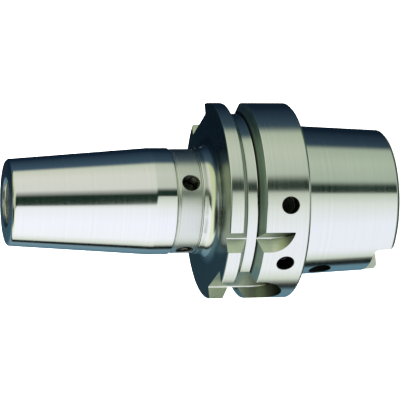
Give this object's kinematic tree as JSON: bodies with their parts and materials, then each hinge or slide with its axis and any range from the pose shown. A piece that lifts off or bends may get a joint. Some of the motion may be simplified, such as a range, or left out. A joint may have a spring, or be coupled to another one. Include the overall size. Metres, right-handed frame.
{
  "type": "shrink fit tool holder",
  "caption": "Shrink fit tool holder with a hollow taper shank, a flange with a gripper groove, keyways and notch, and a slim cone whose bore grips a tool shank.",
  "frame": {"origin": "centre of the flange's contact face, on the axis, where the shank meets the spindle's face", "axes": "+Z along the axis towards the nose, with the holder standing on the end of its shank; the narrow keyway lies on -X and the wide one on +X"},
  "size_m": [0.063, 0.063, 0.123],
  "materials": {
    "ground_steel": "ground and fine turned",
    "black_steel": "black oxide"
  },
  "bodies": {
    "holder": {"holder_body": "ground_steel"},
    "stop": {"stop_screw": "black_steel"}
  },
  "joints": [
    {"name": "stop_travel", "type": "slide", "parent": "holder", "child": "stop", "axis": [0, 0, 1], "range_m": [0, 0.01]}
  ]
}
